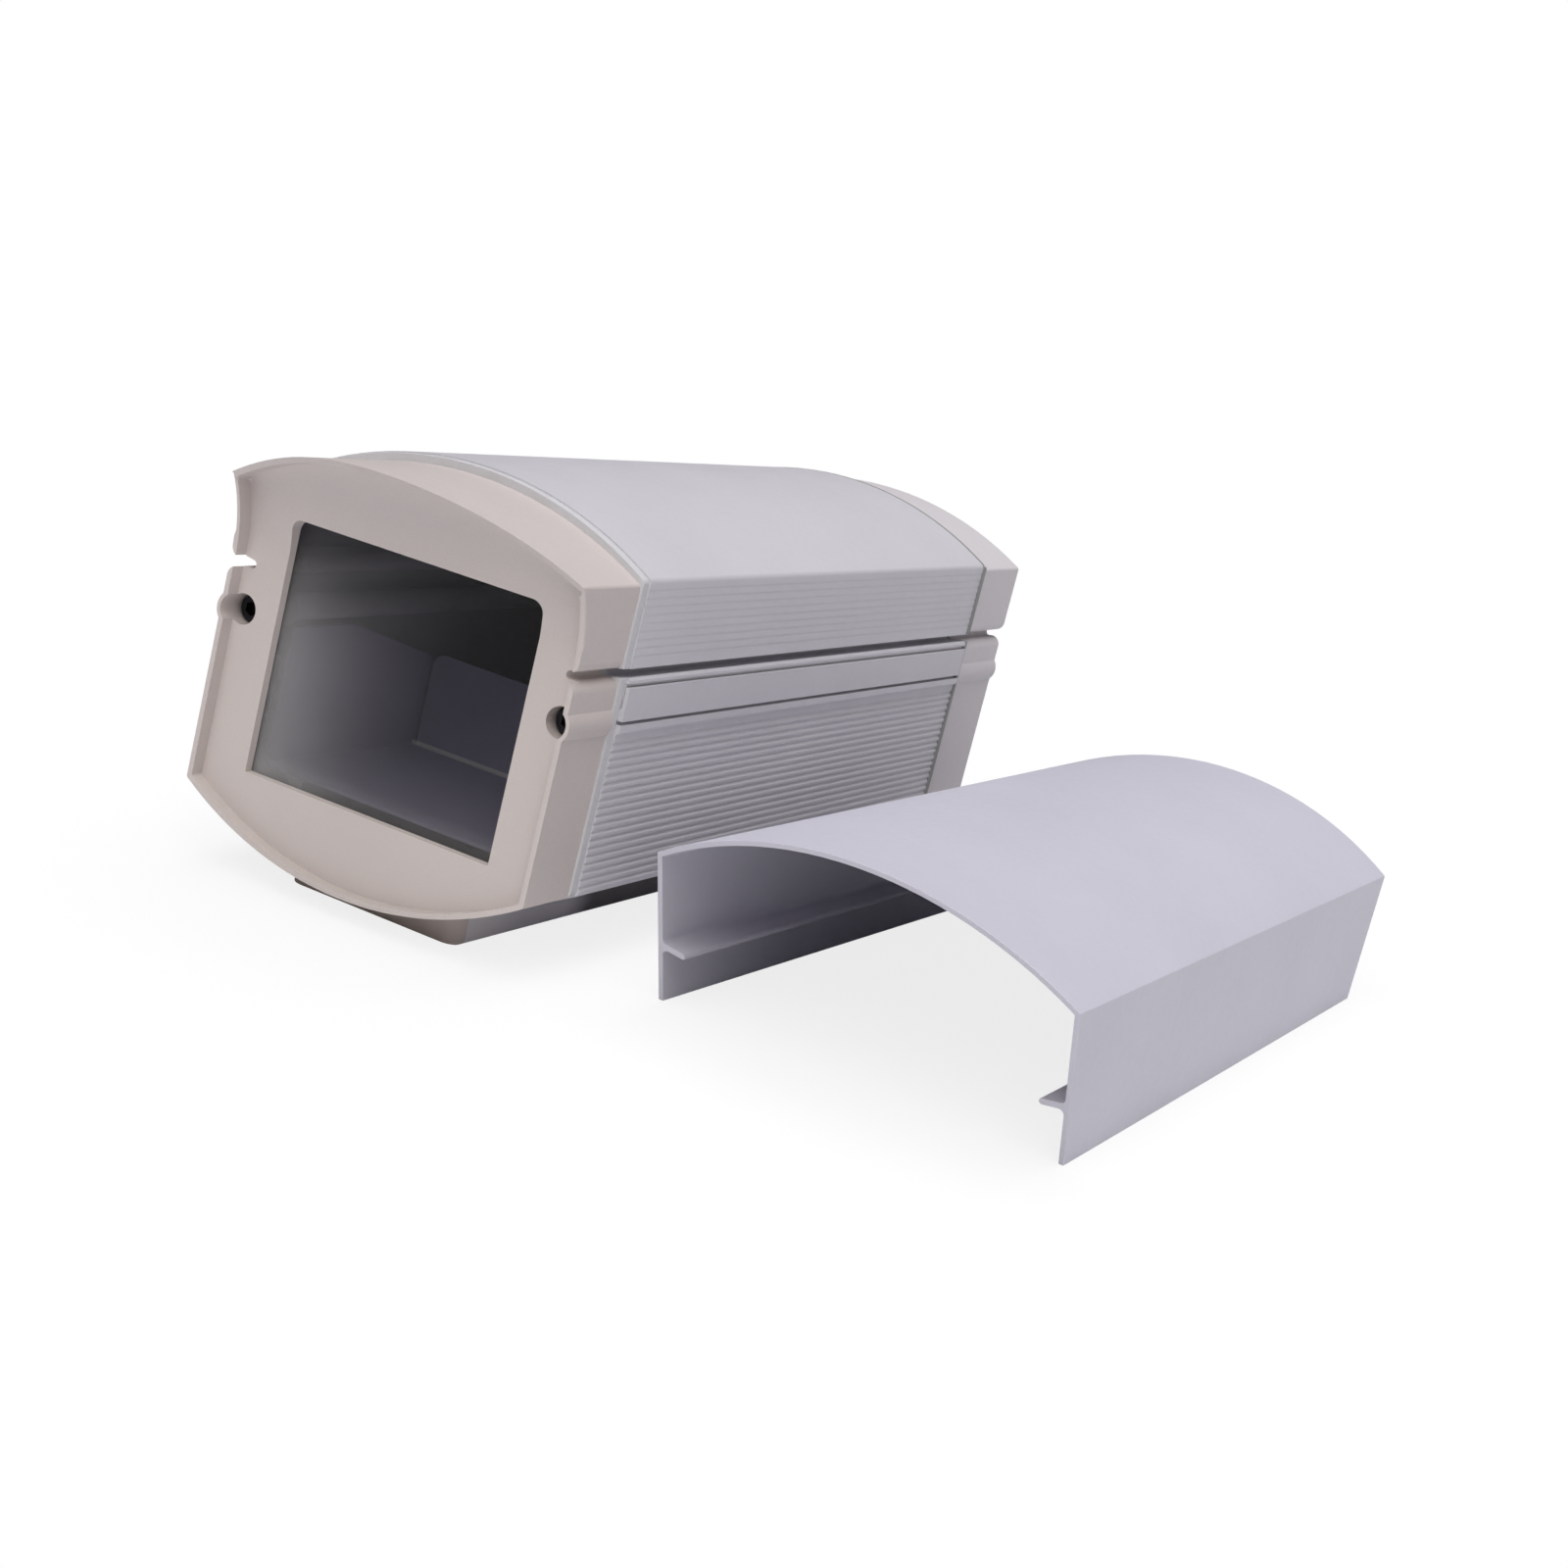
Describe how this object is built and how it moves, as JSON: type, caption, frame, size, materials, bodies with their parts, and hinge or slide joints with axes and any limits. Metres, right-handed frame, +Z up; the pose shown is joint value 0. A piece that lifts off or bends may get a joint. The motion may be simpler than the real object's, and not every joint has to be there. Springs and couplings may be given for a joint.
{
  "type": "security camera housing",
  "caption": "Outdoor camera housing with arched fluted shells between end caps, a front window, a rail foot, and its arched sunshield laid on the ground beside it.",
  "frame": {"origin": "centre of the four threaded holes in the underside of the foot, on the ground plane", "axes": "+Z up, -Y towards the window, +X to the right seen from the front"},
  "size_m": [0.3571, 0.4492, 0.1695],
  "materials": {
    "cap_paint": "powder coated, fine beige grey texture",
    "shell_paint": "powder coated, satin light grey",
    "shield_paint": "powder coated, satin light grey",
    "foot_paint": "powder coated, matte grey",
    "foot_plastic": "moulded, fine matte grain",
    "tray_paint": "satin light grey paint",
    "window_glass": "clear, polished",
    "grey_rubber": "moulded, matte light grey",
    "dark_rubber": "moulded, matte dark grey",
    "black_rubber": "moulded, matte black",
    "gland_plastic": "moulded, fine matte black",
    "black_steel": "black oxide",
    "zinc_steel": "zinc plated"
  },
  "bodies": {
    "housing": {"front_cap": "cap_paint", "rear_cap": "cap_paint", "foot_end_caps": "foot_plastic", "window_glass": "window_glass", "glass_gasket": "grey_rubber", "retainer_strips": "shell_paint", "retainer_screws": "zinc_steel", "front_seal": "grey_rubber", "rear_seal": "dark_rubber", "upper_shell": "shell_paint", "lower_shell": "shell_paint", "seam_seals": "grey_rubber", "front_cap_screws": "black_steel", "rear_cap_screws": "black_steel", "gland_bodies": "gland_plastic", "gland_nuts": "gland_plastic", "gland_lock_nuts": "gland_plastic", "gland_gaskets": "black_rubber", "gland_inserts": "black_rubber", "foot_rail": "foot_paint", "foot_inserts": "zinc_steel", "foot_screws": "zinc_steel", "foot_nuts": "zinc_steel", "tray_lock_screws": "zinc_steel", "sunshield": "shield_paint"},
    "tray": {"camera_tray": "tray_paint", "tray_partition": "tray_paint", "partition_rivets": "zinc_steel"}
  },
  "joints": [
    {"name": "tray_slide", "type": "slide", "parent": "housing", "child": "tray", "axis": [0, 1, 0], "range_m": [0, 0.06]}
  ]
}
